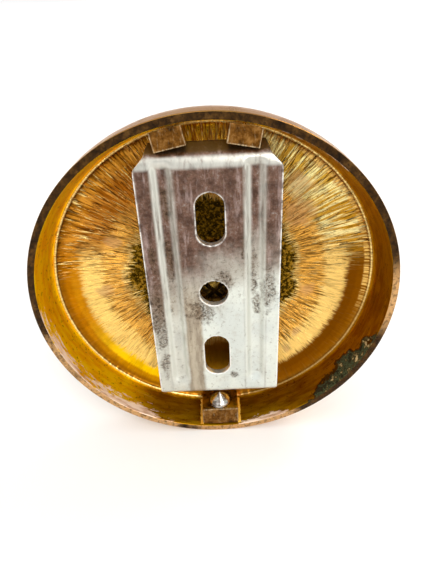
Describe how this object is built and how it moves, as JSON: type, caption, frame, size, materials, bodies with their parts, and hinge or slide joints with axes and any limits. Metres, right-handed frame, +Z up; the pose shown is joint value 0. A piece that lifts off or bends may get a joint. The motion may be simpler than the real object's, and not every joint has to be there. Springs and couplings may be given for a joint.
{
  "type": "wall hook with concealed fixing",
  "caption": "Round domed brass wall rose with a turned knob hook, hung on a concealed pressed steel wall bracket and locked by a cone-point set screw.",
  "frame": {"origin": "centre of the rose's open rim, in the plane of the wall", "axes": "+Z up the wall, +Y into the wall, X across the wall; the knob stands out towards -Y"},
  "size_m": [0.072, 0.0531, 0.072],
  "materials": {
    "zinc_steel": "zinc plated pressed sheet, stained",
    "lacquered_brass": "gold lacquer over brushed brass",
    "tarnished_brass": "dull tarnished brass",
    "bright_steel": "bright turned steel",
    "dark_steel": "dull plated steel",
    "polished_brass": "polished and lacquered brass"
  },
  "bodies": {
    "bracket": {"wall_bracket": "zinc_steel"},
    "rose": {"rose_shell": "lacquered_brass", "hanger_lug_left": "tarnished_brass", "hanger_lug_right": "tarnished_brass", "screw_boss": "tarnished_brass", "clamp_screw": "dark_steel", "spring_washer": "dark_steel", "flat_washer": "dark_steel", "stem_collar": "polished_brass", "hook_stem": "polished_brass", "hook_knob": "polished_brass"},
    "grub_screw": {"set_screw": "bright_steel"}
  },
  "joints": [
    {"name": "rose_unhook", "type": "slide", "parent": "bracket", "child": "rose", "axis": [0, -0.7071, 0.7071], "range_m": [0, 0.04]},
    {"name": "screw_drive", "type": "slide", "parent": "rose", "child": "grub_screw", "axis": [0, 0, 1], "range_m": [-0.003, 0.0005]}
  ]
}
